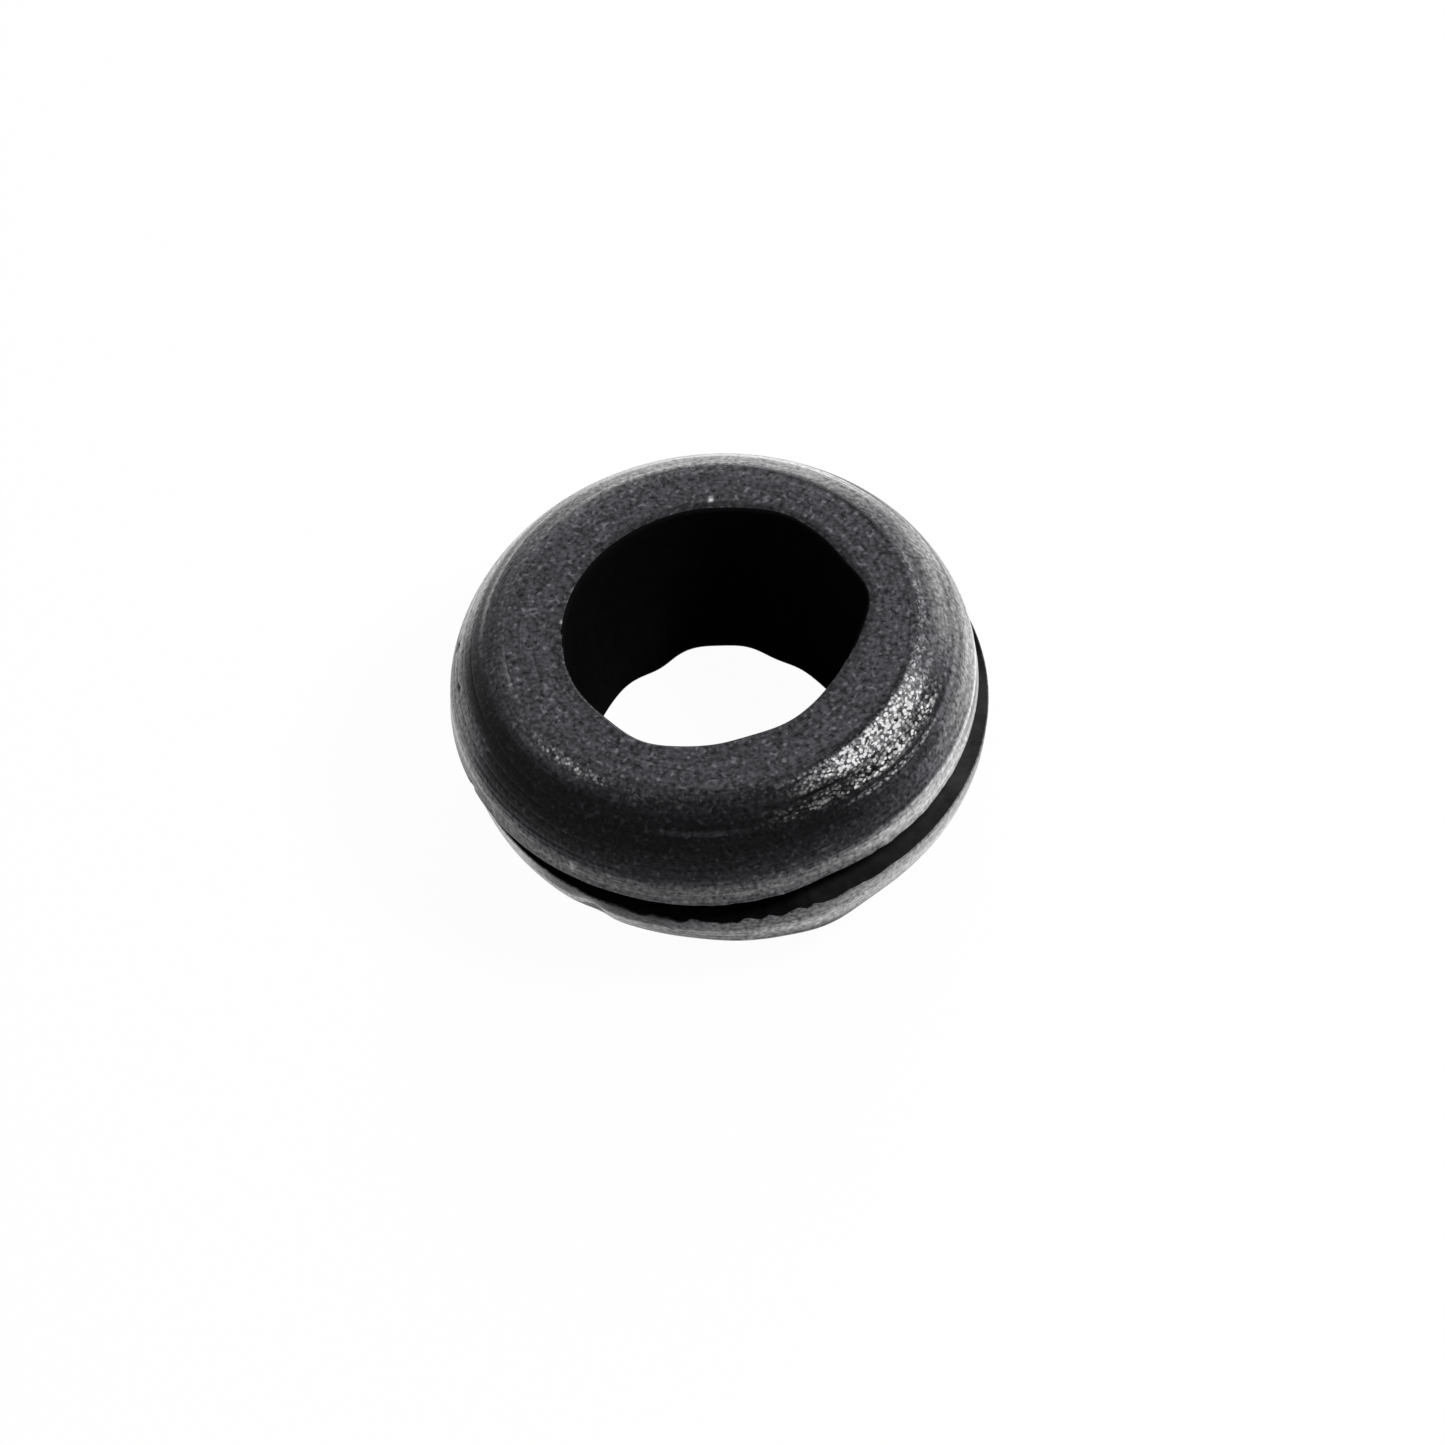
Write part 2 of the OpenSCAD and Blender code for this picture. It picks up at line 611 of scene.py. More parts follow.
@dataclass(frozen=True)
class SkinMap:
    """Where the skin is pale with bloom and with painted reflection and shade, and where painted glints of a
    highlight, and dust in the groove, lie on it.
    """

    # Bloom by the distance from the face's outer edge, the same all round; the near black below the bands is
    # partly painted shade
    base: tuple[tuple[float, float], ...] = (
        (-2.3, 0.045), (-1.6, 0.055), (-1.0, 0.06), (-0.3, 0.061), (-0.06, 0.047), (0.15, 0.03),
        (0.4, 0.016), (0.8, 0.008), (1.1, 0.003), (1.9, 0.003), (2.4, 0.012), (2.9, 0.03), (3.08, 0.05),
        (3.2, 0.12), (3.4, 0.19), (3.65, 0.18), (3.97, 0.07),
    )
    painted_light_and_bloom_marks: tuple[Mark, ...] = (
        # The face, dimmer beside the bore and paler along its far edge as a painted reflection
        Mark(50, 85, -1.95, 0.42, -0.03),
        Mark(90, 50, -0.1, 0.28, 0.05),
        Mark(84.5, 0.8, -1.49, 0.07, 0.6),
        Mark(169.5, 1.2, -1.9, 0.08, 0.4),
        Mark(55, 30, 0.05, 0.19, -0.13),
        Mark(8, 20, 0.05, 0.19, -0.03),
        Mark(-88, 22, 0.15, 0.3, -0.012),
        # The far side: pale bands that are a painted reflection of the white surround at grazing angles
        Mark(80, 48, 0.44, 0.4, 0.27),
        Mark(38, 14, 0.9, 0.75, -0.1),
        Mark(46, 18, 1.5, 0.2, -0.1),
        Mark(75, 18, 1.1, 0.24, 0.08),
        Mark(150, 20, 1.65, 0.3, 0.1),
        Mark(75, 95, 0.4, 0.45, 0.09),
        Mark(80, 42, 1.06, 0.29, 0.5),
        Mark(80, 80, 1.12, 0.32, 0.26),
        Mark(28, 16, 1.56, 0.22, 0.22),
        Mark(146, 16, 1.56, 0.22, 0.26),
        Mark(150, 22, 0.92, 0.12, 0.2),
        Mark(145, 24, 1.95, 0.5, 0.65),
        # The right side: pale shoulder and land, a painted reflection at grazing angles and painted light
        # from the key lamp
        Mark(8, 26, 1.15, 0.6, 0.12),
        Mark(10, 32, 1.92, 0.38, 0.17),
        Mark(12, 32, 2.7, 0.62, 0.36),
        Mark(2, 14, 3.12, 0.2, 0.36),
        Mark(-20, 22, 2.6, 0.45, 0.1),
        Mark(-28, 24, 3.18, 0.13, 0.45),
        Mark(-42, 19, 3.48, 0.2, 0.42),
        Mark(-28, 28, 3.8, 0.2, 0.5),
        Mark(2, 10, 3.5, 0.3, 0.4),
        Mark(-40, 18, 2.1, 0.6, 0.026),
        Mark(-25, 9, 2.0, 0.4, 0.05),
        # The left side: pale rims that are a painted reflection at grazing angles, two nicks with painted
        # shade in them, and a pale scratch
        Mark(177, 22, 2.7, 0.88, 0.28),
        Mark(-168, 14, 3.1, 0.25, 0.18),
        Mark(-160, 18, 3.2, 0.2, 0.15),
        Mark(-160, 28, 0.4, 0.4, 0.03),
        Mark(-170, 10, 0.05, 0.05, 0.1),
        Mark(169, 1.3, 2.46, 0.1, -0.6),
        Mark(-178.5, 1.3, 2.37, 0.1, -0.6),
        Mark(-126.5, 0.5, 3.45, 0.2, 0.5),
        # Under the painted glints at the front, and between their rows: more painted highlight, darker edges
        # and stripes, and a thin painted highlight line on a lower band
        Mark(-42, 18, 0.41, 0.36, 0.13),
        Mark(-44, 21, -0.07, 0.08, -0.05),
        Mark(-58, 14, 0.78, 0.05, -0.02),
        Mark(-98, 10, 1.33, 0.07, 0.02),
    )
    painted_glints_and_dust: tuple[Mark, ...] = (
        # Painted glints of the key lamp's highlight on the right front, in rows along the bands
        Mark(-45, 25, 0.41, 0.37, 1.0),
        Mark(-45, 16, 0.41, 0.37, 3.1),
        Mark(-42, 10, 0.6, 0.12, 1.0),
        Mark(-4, 24, 0.2, 0.16, 0.35),
        Mark(-41, 14, 1.12, 0.27, 1.1),
        Mark(-50, 26, 1.12, 0.27, 0.35),
        Mark(-48, 15, 1.26, 0.09, 1.1),
        Mark(-46, 13, 1.66, 0.07, 1.4),
        Mark(-58, 14, 0.78, 0.05, -0.7),
        # Painted glints of a fainter highlight on the left front
        Mark(-137, 11, 0.26, 0.15, 0.7),
        Mark(-138, 26, 0.3, 0.3, 0.08),
        Mark(-95, 25, 0.2, 0.25, 0.05),
    )

    def levels(self, points: RingPoints) -> tuple[np.ndarray, np.ndarray]:
        """Looks up how pale the skin is, with its painted reflection and shade, and its painted glints and
        dust.

        Args:
            points: The ring's points.

        Returns:
            The bloom with painted light, and the painted glints and dust, at each point.
        """
        bloom_and_painted_light = np.interp(points.past(Zone.FACE), *zip(*self.base))
        bloom_and_painted_light = sum((mark.on(points) for mark in self.painted_light_and_bloom_marks), bloom_and_painted_light)
        painted_glint_and_dust = sum((mark.on(points) for mark in self.painted_glints_and_dust), np.zeros_like(bloom_and_painted_light))
        return np.clip(bloom_and_painted_light, 0.0, 1.0), np.maximum(painted_glint_and_dust, 0.0)


@dataclass(frozen=True)
class MouldedRubber:
    """Black nitrile rubber as moulded, which gives the eye a matt, finely grained charcoal
    skin with a pale bloom. The bloom level also carries painted reflection on the rims and painted
    shade below the bands, and fine facets where the mould was turned carry painted glints of a
    highlight.

    A thin bloom scatters a trace of blue, and a thick one, which is mostly painted reflection, is
    neutral.
    """

    name: str = "moulded_black_rubber"
    # Colours of bare rubber, of thin bloom, of thick bloom with the painted reflection on the rims, and of
    # the painted glints
    black: str = "#000001"
    hazed: str = "#e5e4ef"
    pale_reflection_and_bloom: str = "#e6e6e7"
    painted_glint_colour: str = "#dededf"
    thin_bloom: float = 0.07
    thick_bloom: float = 0.18
    ior: float = 1.5
    specular_level: float = 0.05
    rough: float = 0.25
    sheen: float = 0.27
    sheen_rough: float = 0.3
    ring_r_mm: float = 8.7
    # Fine grain, calmer where the bloom and painted reflection are thick
    grain_mm: float = 0.15
    grain_detail: float = 1.0
    grain_contrast: float = 0.8
    calm_bloom: float = 0.6
    calm_share: float = 0.5
    # Sparse paler flecks where the skin is matt
    fleck_mm: float = 0.16
    fleck_detail: float = 0.0
    fleck_from: float = 0.64
    fleck_full: float = 0.82
    fleck_gain: float = 1.7
    flecked_bloom: float = 0.08
    fleck_floor: float = 0.009
    grain_floor: float = 0.003
    # The facets that the mould's turning tool left, which carry the painted glints
    facet_length_mm: float = 0.14
    facet_width_mm: float = 0.085
    facet_core: float = 0.4
    facet_rim: float = 0.8
    facet_falloff: float = 2.2
    facet_tilt: float = 0.3
    # Turned lines that are too fine for the mesh
    line_pitch_mm: float = 0.09
    line_length_mm: float = 5.0
    line_contrast: float = 0.35
    line_depth_mm: float = 0.004
    pore_depth_mm: float = 0.008

    def make(self) -> Material:
        """Builds the material, which reads the mesh's run, its bloom with painted reflection and shade, and
        its painted glints.

        Returns:
            The new material.
        """
        material = bpy.data.materials.new(self.name)
        tree = new_tree(material)
        place = add_node(tree, "TexCoord")["Object"]
        run, bloom_and_painted_light, painted_glint_and_dust = (
            add_node(tree, "Attribute", attribute_name=name)["Fac"]
            for name in ("run", "bloom_and_painted_light", "painted_glint_and_dust")
        )
        grain_size = {"Scale": 1 / (self.grain_mm * MM), "Detail": self.grain_detail}
        grain = add_node(tree, "TexNoise", {"Vector": place, **grain_size})["Fac"]
        facet_place = self.round_ring(tree, place, run, self.facet_length_mm, self.facet_width_mm)
        facets = add_node(tree, "TexVoronoi", {"Vector": facet_place, "Scale": 1.0})
        line_place = self.round_ring(tree, place, run, self.line_length_mm, self.line_pitch_mm)
        lines = add_node(tree, "TexNoise", {"Vector": line_place, "Scale": 1.0})["Fac"]
        skin = self.skin_colour(tree, place, bloom_and_painted_light, grain, lines)
        shader = add_node(
            tree,
            "BsdfPrincipled",
            {
                "Base Color": self.with_painted_glints(tree, skin, painted_glint_and_dust, facets),
                "Normal": self.normal(tree, painted_glint_and_dust, facets["Color"], grain, lines),
                "IOR": self.ior,
                "Specular IOR Level": self.specular_level,
                "Roughness": self.rough,
                "Sheen Weight": self.sheen,
                "Sheen Roughness": self.sheen_rough,
            },
        )
        add_node(tree, "OutputMaterial", {"Surface": shader["BSDF"]})
        return material

    def round_ring(
        self, tree: Tree, place: Socket, run: Socket, length_mm: float, width_mm: float
    ) -> Socket:
        """Adds coordinates for a pattern that is drawn out round the ring, as by a turned mould.

        Args:
            tree: The material's node tree.
            place: Object coordinates.
            run: Distance along the section, in millimetres.
            length_mm: Size of the pattern's cells round the ring.
            width_mm: Size of its cells along the section.

        Returns:
            The coordinates, one unit to a cell.
        """
        cells = self.ring_r_mm / length_mm
        flat = add_node(tree, "VectorMath", {0: place, 1: (1.0, 1.0, 0.0)}, operation="MULTIPLY")[0]
        outwards = add_node(tree, "VectorMath", {0: flat}, operation="NORMALIZE")[0]
        spread = add_node(tree, "VectorMath", {0: outwards, 1: (cells, cells, 0.0)}, operation="MULTIPLY")[0]
        across = add_node(tree, "Math", {0: run, 1: 1 / width_mm}, operation="MULTIPLY")[0]
        lift = add_node(tree, "CombineXYZ", {"Z": across})[0]
        return add_node(tree, "VectorMath", {0: spread, 1: lift}, operation="ADD")[0]

    def skin_colour(self, tree: Tree, place: Socket, bloom_and_painted_light: Socket, grain: Socket, lines: Socket) -> Socket:
        """Mixes black rubber and grainy bloom, which also carries painted reflection and shade, with sparse
        paler flecks where it is matt.

        Args:
            tree: The material's node tree.
            place: Object coordinates.
            bloom_and_painted_light: How pale the skin is, from bloom and from painted reflection and shade.
            grain: Fine grain from 0 to 1.
            lines: Turned lines from 0 to 1.

        Returns:
            The colour without its glitter.
        """
        calm_span = {"From Max": self.calm_bloom, "To Min": 1.0, "To Max": self.calm_share}
        calm = add_node(tree, "MapRange", {"Value": bloom_and_painted_light, **calm_span})[0]
        rough_grain, lined = (
            add_node(
                tree,
                "MapRange",
                {
                    "Value": noise,
                    "From Min": NOISE_LOW,
                    "From Max": NOISE_HIGH,
                    "To Min": 1 - contrast,
                    "To Max": 1 + contrast,
                },
            )[0]
            for noise, contrast in ((grain, self.grain_contrast), (lines, self.line_contrast))
        )
        grainy = add_node(tree, "Mix", {0: calm, FLOAT_A: 1.0, FLOAT_B: rough_grain})[0]
        uneven = add_node(tree, "Math", {0: grainy, 1: lined}, operation="MULTIPLY")[0]

        fleck_size = {"Scale": 1 / (self.fleck_mm * MM), "Detail": self.fleck_detail}
        spots = add_node(tree, "TexNoise", {"Vector": place, **fleck_size})["Fac"]
        fleck_span = {"From Min": self.fleck_from, "From Max": self.fleck_full, "To Max": self.fleck_gain}
        flecks = add_node(tree, "MapRange", {"Value": spots, **fleck_span})[0]
        everywhere = add_node(tree, "Math", {0: bloom_and_painted_light, 1: self.fleck_floor}, operation="ADD")[0]
        matt = add_node(tree, "Math", {0: everywhere, 1: self.flecked_bloom}, operation="MINIMUM")[0]
        sparse = add_node(tree, "Math", {0: flecks, 1: matt}, operation="MULTIPLY")[0]

        worn = add_node(tree, "Math", {0: bloom_and_painted_light, 1: self.grain_floor}, operation="ADD")[0]
        pale = {0: worn, 1: uneven, 2: sparse}
        share = add_node(tree, "Math", pale, operation="MULTIPLY_ADD", use_clamp=True)[0]
        haze_span = {"From Min": self.thin_bloom, "From Max": self.thick_bloom}
        thickness = add_node(tree, "MapRange", {"Value": bloom_and_painted_light, **haze_span})[0]
        haze = {0: thickness, COLOUR_A: linear_colour(self.hazed), COLOUR_B: linear_colour(self.pale_reflection_and_bloom)}
        cover = add_node(tree, "Mix", haze, data_type="RGBA")[COLOUR_OUT]
        skin = {0: share, COLOUR_A: linear_colour(self.black), COLOUR_B: cover}
        return add_node(tree, "Mix", skin, data_type="RGBA")[COLOUR_OUT]

    def with_painted_glints(self, tree: Tree, skin: Socket, painted_glint_and_dust: Socket, facets: Outputs) -> Socket:
        """Paints small bright glints of a highlight over the skin, on facets, few of them fully bright, with
        dark gaps between.

        Args:
            tree: The material's node tree.
            skin: Colour of the skin below.
            painted_glint_and_dust: How strongly the painted glints show.
            facets: The outputs of the facets' texture.

        Returns:
            The base colour.
        """
        single = add_node(tree, "SeparateColor", {"Color": facets["Color"]})[0]
        few = add_node(tree, "Math", {0: single, 1: self.facet_falloff}, operation="POWER")[0]
        fade = {"From Min": self.facet_core, "From Max": self.facet_rim, "To Min": 1.0, "To Max": 0.0}
        core = add_node(tree, "MapRange", {"Value": facets["Distance"], **fade})[0]
        lone = add_node(tree, "Math", {0: few, 1: core}, operation="MULTIPLY")[0]
        shown = add_node(tree, "Math", {0: lone, 1: painted_glint_and_dust}, operation="MULTIPLY", use_clamp=True)[0]
        glitter_over = {0: shown, COLOUR_A: skin, COLOUR_B: linear_colour(self.painted_glint_colour)}
        return add_node(tree, "Mix", glitter_over, data_type="RGBA")[COLOUR_OUT]

    def normal(self, tree: Tree, painted_glint_and_dust: Socket, facets: Socket, grain: Socket, lines: Socket) -> Socket:
        """Tilts the facets, each its own way, and adds grain and turned lines as bumps.

        Args:
            tree: The material's node tree.
            painted_glint_and_dust: How far the facets tilt, the same share that sets their painted glints.
            facets: A random colour for each facet.
            grain: Height of the grain from 0 to 1.
            lines: Height of the turned lines from 0 to 1.

        Returns:
            The shading normal.
        """
        surface = add_node(tree, "NewGeometry")["Normal"]
        centred = add_node(tree, "VectorMath", {0: facets, 1: MID_COLOUR}, operation="SUBTRACT")[0]
        amount = add_node(tree, "Math", {0: painted_glint_and_dust, 1: self.facet_tilt}, operation="MULTIPLY")[0]
        lean = add_node(tree, "VectorMath", {0: centred, "Scale": amount}, operation="SCALE")[0]
        leant = add_node(tree, "VectorMath", {0: surface, 1: lean}, operation="ADD")[0]
        normal = add_node(tree, "VectorMath", {0: leant}, operation="NORMALIZE")[0]
        for height, depth_mm in ((grain, self.pore_depth_mm), (lines, self.line_depth_mm)):
            bump = {"Height": height, "Normal": normal, "Strength": 1.0, "Distance": depth_mm * MM}
            normal = add_node(tree, "Bump", bump)["Normal"]
        return normal


@dataclass(frozen=True)
class ShelteredRubber:
    """The same rubber inside the bore and the groove, clean and dead matt, which gives the eye a
    deep black with only a trace of mottle, and a little dust in the groove's mouth."""

    name: str = "sheltered_black_rubber"
    black: str = "#080808"
    lighter: str = "#121213"
    dusty: str = "#e5e4e9"
    ior: float = 1.45
    specular_level: float = 0.0
    rough: float = 0.8
    mottle_mm: float = 0.6
    mottle_detail: float = 4.0
    mottle_rough: float = 0.6
    pore_depth_mm: float = 0.02

    def make(self) -> Material:
        """Builds the material, which reads the mesh's glitter attribute as dust.

        Returns:
            The new material.
        """
        material = bpy.data.materials.new(self.name)
        tree = new_tree(material)
        pattern = {
            "Vector": add_node(tree, "TexCoord")["Object"],
            "Scale": 1 / (self.mottle_mm * MM),
            "Detail": self.mottle_detail,
            "Roughness": self.mottle_rough,
        }
        mottle = add_node(tree, "TexNoise", pattern)["Fac"]
        clean = {0: mottle, COLOUR_A: linear_colour(self.black), COLOUR_B: linear_colour(self.lighter)}
        black = add_node(tree, "Mix", clean, data_type="RGBA")[COLOUR_OUT]
        dust = add_node(tree, "Attribute", attribute_name="painted_glint_and_dust")["Fac"]
        share = add_node(tree, "Math", {0: dust, 1: mottle}, operation="MULTIPLY", use_clamp=True)[0]
        dusted = {0: share, COLOUR_A: black, COLOUR_B: linear_colour(self.dusty)}
        colour = add_node(tree, "Mix", dusted, data_type="RGBA")[COLOUR_OUT]
        bump = {"Height": mottle, "Strength": 1.0, "Distance": self.pore_depth_mm * MM}
        shader = add_node(
            tree,
            "BsdfPrincipled",
            {
                "Base Color": colour,
                "Normal": add_node(tree, "Bump", bump)["Normal"],
                "IOR": self.ior,
                "Specular IOR Level": self.specular_level,
                "Roughness": self.rough,
            },
        )
        add_node(tree, "OutputMaterial", {"Surface": shader["BSDF"]})
        return material


def seen_directly(tree: Tree) -> Socket:
    """Adds the test for camera, glossy and transmission rays, which see the white surround.

    Args:
        tree: The node tree of the floor's material or of the world.

    Returns:
        1 for such a ray and 0 for any other.
    """
    path = add_node(tree, "LightPath")
    seen = path["Is Camera Ray"]
    for ray in ("Is Glossy Ray", "Is Transmission Ray"):
        seen = add_node(tree, "Math", {0: seen, 1: path[ray]}, operation="MAXIMUM")[0]
    return seen


@dataclass(frozen=True)
class PaperFloor:
    """White seamless paper, which keeps a trace of the ring's shadow."""

    name: str = "white_paper"
    paper: str = "#f4f4f4"
    glow_share: float = 0.97

    def make(self) -> Material:
        """Builds the floor's material: plain white to the camera, and lit paper to the rest.

        Returns:
            The new material.
        """
        material = bpy.data.materials.new(self.name)
        tree = new_tree(material)
        lit = add_node(tree, "BsdfDiffuse", {"Color": linear_colour(self.paper)})[0]
        glow = add_node(tree, "Emission", {"Color": WHITE, "Strength": 1.0})[0]
        share = add_node(tree, "Math", {0: seen_directly(tree), 1: self.glow_share}, operation="MULTIPLY")[0]
        mixed = add_node(tree, "MixShader", {0: share, 1: lit, 2: glow})[0]
        add_node(tree, "OutputMaterial", {"Surface": mixed})
        return material


# ---------------------------------------------------------------- the grommet


@dataclass
class GrommetRing:
    """The one moulded piece: its section is drawn, spun, marked and dressed, and then it settles."""

    outline: RingOutline = field(default_factory=RingOutline)
    relaxed: RelaxedRubber = field(default_factory=RelaxedRubber)
    name: str = "grommet_ring"
    steps: int = 480
    # Rounds of the bore's rims, the groove's roots and the lips
    rim_round: float = 0.12
    root_round: float = 0.2
    lip_round: float = 0.04
    rim_cuts: int = 4
    root_cuts: int = 2
    lip_cuts: int = 2
    # Longest edges of the section on the outside, and in the bore and the groove
    fine_edge: float = 0.11
    plain_edge: float = 0.45
    smooth_angle: float = 35.0
    upper_skin: SkinMap = field(default_factory=SkinMap)
    lower_skin: SkinMap = field(
        default_factory=lambda: SkinMap(
            base=(
                (-2.3, 0.04), (-1.6, 0.055), (-0.3, 0.062), (0.15, 0.03), (0.8, 0.01), (1.9, 0.02),
                (2.4, 0.1), (2.9, 0.28), (3.08, 0.3), (3.4, 0.2), (3.97, 0.11),
            ),
            painted_light_and_bloom_marks=(
                # Paler and darker patches along the front
                Mark(-48, 22, 3.55, 0.45, 0.3),
                Mark(-62, 34, 3.0, 0.25, 0.3),
                Mark(-132, 18, 2.9, 0.35, 0.5),
                Mark(-152, 12, 3.6, 0.4, 0.6),
                Mark(-122, 20, 3.6, 0.35, -0.12),
                Mark(-113, 9, 3.88, 0.16, -0.1),
            ),
            painted_glints_and_dust=(
                # Dust in the groove's mouth
                Mark(-22, 26, 4.3, 0.32, 0.09),
                Mark(-62, 16, 4.3, 0.32, 0.03),
            ),
        )
    )
    # Painted shade: how far the bore's dead black finish is laid over its upper rim, and where it is
    painted_shade_lap: float = 0.14
    painted_shade_azimuth: float = 78.0
    painted_shade_half_width: float = 112.0
    painted_shade_power: int = 12

    @property
    def mid_height(self) -> float:
        """Height of the groove's middle plane over the ground."""
        return self.outline.half_height

    def build(self) -> Object:
        """Makes the whole piece, from one vertex to the dressed and settled ring.

        Returns:
            The ring's object.
        """
        ring = self.draw_outline()
        self.round_corners(ring)
        self.split_edges(ring)
        self.spin(ring)
        self.mark_surface(ring)
        self.dress(ring)
        self.settle(ring)
        return ring

    def section(self) -> list[np.ndarray]:
        """Gives the whole section, with the middles of the bore and the neck left out.

        Returns:
            Radius and height of each point, over the upper half and back along the lower one.
        """
        upper = self.outline.with_lines()
        lower = [np.array([p[0], -p[1]]) for p in reversed(upper[1:-1])]
        return upper[1:-1] + lower

    def place_of(self, point: np.ndarray) -> Vector:
        """Turns a radius and a height from the middle plane into a place in metres."""
        return Vector((point[0] * MM, 0.0, (point[1] + self.mid_height) * MM))

    def draw_outline(self) -> Object:
        """Draws the closed section in the XZ plane, by extruding one vertex from corner to corner.

        Returns:
            The ring's object, so far with the section's edges alone.
        """
        places = [self.place_of(p) for p in self.section()]
        deselect_all()
        bpy.ops.mesh.primitive_plane_add(size=self.lip_round * MM, location=places[0])
        ring = bpy.context.object
        ring.name = ring.data.name = self.name
        bpy.ops.object.transform_apply(location=True)
        bpy.ops.object.mode_set(mode="EDIT")
        bpy.ops.mesh.select_mode(type=Element.VERTEX.value)
        bpy.ops.mesh.select_all(action="SELECT")
        bpy.ops.mesh.merge(type="CENTER")
        for here, there in zip(places, places[1:] + places[:1]):
            bpy.ops.mesh.extrude_region_move(TRANSFORM_OT_translate={"value": there - here})
        bpy.ops.mesh.select_all(action="SELECT")
        bpy.ops.mesh.remove_doubles(threshold=DRAWN_GAP)
        bpy.ops.object.mode_set(mode="OBJECT")
        return ring

    def round_corners(self, ring: Object) -> None:
        """Rounds the bore's rims, the groove's roots and the lips, over and under the middle plane.

        Args:
            ring: The ring, as a drawn section.
        """
        size = self.outline
        for radius, height, offset, cuts in (
            (size.bore_r, size.half_height, self.rim_round, self.rim_cuts),
            (size.neck_r, size.half_groove, self.root_round, self.root_cuts),
            (size.lip_r, size.half_groove, self.lip_round, self.lip_cuts),
        ):
            for side in (1, -1):
                self.bevel_corner(ring, np.array([radius, side * height]), offset, cuts)

    def bevel_corner(self, ring: Object, corner: np.ndarray, offset: float, cuts: int) -> None:
        """Rounds the vertex of the drawn section that lies at a corner.

        Args:
            ring: The ring, as a drawn section.
            corner: Radius and height of the corner.
            offset: How far from the corner the round starts.
            cuts: How many edges make up the round.
        """
        place = self.place_of(corner)
        nearest = min(ring.data.vertices, key=lambda v: (v.co - place).length).index
        select_only(ring, Element.VERTEX, [nearest])
        bpy.ops.mesh.bevel(offset=offset * MM, segments=cuts, profile=ROUND_PROFILE, affect="VERTICES")
        bpy.ops.object.mode_set(mode="OBJECT")

    def split_edges(self, ring: Object) -> None:
        """Subdivides the section's long edges evenly, finely where the surface is in view.

        Args:
            ring: The ring, as a drawn section.
        """
        while True:
            wanted = {e.index: self.cuts_for(ring.data, e) for e in ring.data.edges}
            most = max(wanted.values())
            if most == 0:
                return
            select_only(ring, Element.EDGE, [index for index, cuts in wanted.items() if cuts == most])
            bpy.ops.mesh.subdivide(number_cuts=most)
            bpy.ops.object.mode_set(mode="OBJECT")

    def cuts_for(self, mesh: bpy.types.Mesh, edge: bpy.types.MeshEdge) -> int:
        """Counts the cuts that bring an edge of the section down to its zone's limit.

        Args:
            mesh: The drawn section.
            edge: One of its edges.

        Returns:
            The number of cuts, 0 where the edge is short enough.
        """
        start, end = (mesh.vertices[i].co for i in edge.vertices)
        middle = (start + end) / 2 / MM
        in_bore = middle.x < self.outline.bore_r + ON_SURFACE
        inner = in_bore or self.in_groove(middle.x, middle.z - self.mid_height)
        limit = self.plain_edge if inner else self.fine_edge
        return max(0, math.ceil((end - start).length / MM / limit - CUT_SLACK) - 1)

    def in_groove(self, radius: float, height: float) -> bool:
        """Says whether a point of the section lies on the walls or the floor of the groove."""
        mouth = self.outline.lip_r - self.lip_round - ON_SURFACE
        return abs(height) < self.outline.half_groove + ON_SURFACE and radius < mouth

    def sheltered(self, points: RingPoints) -> np.ndarray:
        """Tells which points lie in the bore or in the groove.

        The bore's dead black finish is also laid over the far half of its upper rim, as painted
        shade, and stops short of its other rims.

        Args:
            points: Points of the true ring.

        Returns:
            True for each point that does.
        """
        turn = turn_between(points.azimuth, self.painted_shade_azimuth)
        share = np.exp(-((turn / self.painted_shade_half_width) ** self.painted_shade_power))
        lap = (self.painted_shade_lap + self.rim_round) * share * (points.height > 0) - self.rim_round
        return (points.past(Zone.BORE) < lap) | (points.past(Zone.LAND) > self.lip_round)

    def spin(self, ring: Object) -> None:
        """Spins the section once round the bore's axis, and closes the ring.

        Args:
            ring: The ring, as a drawn section; not used.
        """
        bpy.ops.object.mode_set(mode="EDIT")
        bpy.ops.mesh.select_mode(type=Element.VERTEX.value)
        bpy.ops.mesh.select_all(action="SELECT")
        bpy.ops.mesh.spin(steps=self.steps, angle=math.tau, center=(0.0, 0.0, 0.0), axis=(0.0, 0.0, 1.0))
        bpy.ops.mesh.select_all(action="SELECT")
        bpy.ops.mesh.remove_doubles(threshold=SPUN_GAP)
        bpy.ops.mesh.normals_make_consistent(inside=False)
        bpy.ops.object.mode_set(mode="OBJECT")

    def points_of(self, ring: Object) -> RingPoints:
        """Reads the ring's vertices in millimetres, with heights from the middle plane.

        Args:
            ring: The true ring.

        Returns:
            Its points.
        """
        flat = np.empty(len(ring.data.vertices) * 3)
        ring.data.vertices.foreach_get("co", flat)
        spots = flat.reshape(-1, 3) / MM
        spots[:, 2] -= self.mid_height
        return RingPoints(spots, self.outline)

    def mark_surface(self, ring: Object) -> None:
        """Stores each point's run, its bloom with painted reflection and shade, and its painted glints and
        dust, which the finishes read.

        Args:
            ring: The true ring.
        """
        points = self.points_of(ring)
        skins = (self.upper_skin.levels(points), self.lower_skin.levels(points))
        bloom_and_painted_light, painted_glint_and_dust = (np.where(points.height > 0, upper, lower) for upper, lower in zip(*skins))
        for name, values in (("run", points.run), ("bloom_and_painted_light", bloom_and_painted_light), ("painted_glint_and_dust", painted_glint_and_dust)):
            attribute = ring.data.attributes.new(name, "FLOAT", "POINT")
            attribute.data.foreach_set("value", values.astype(np.float32))

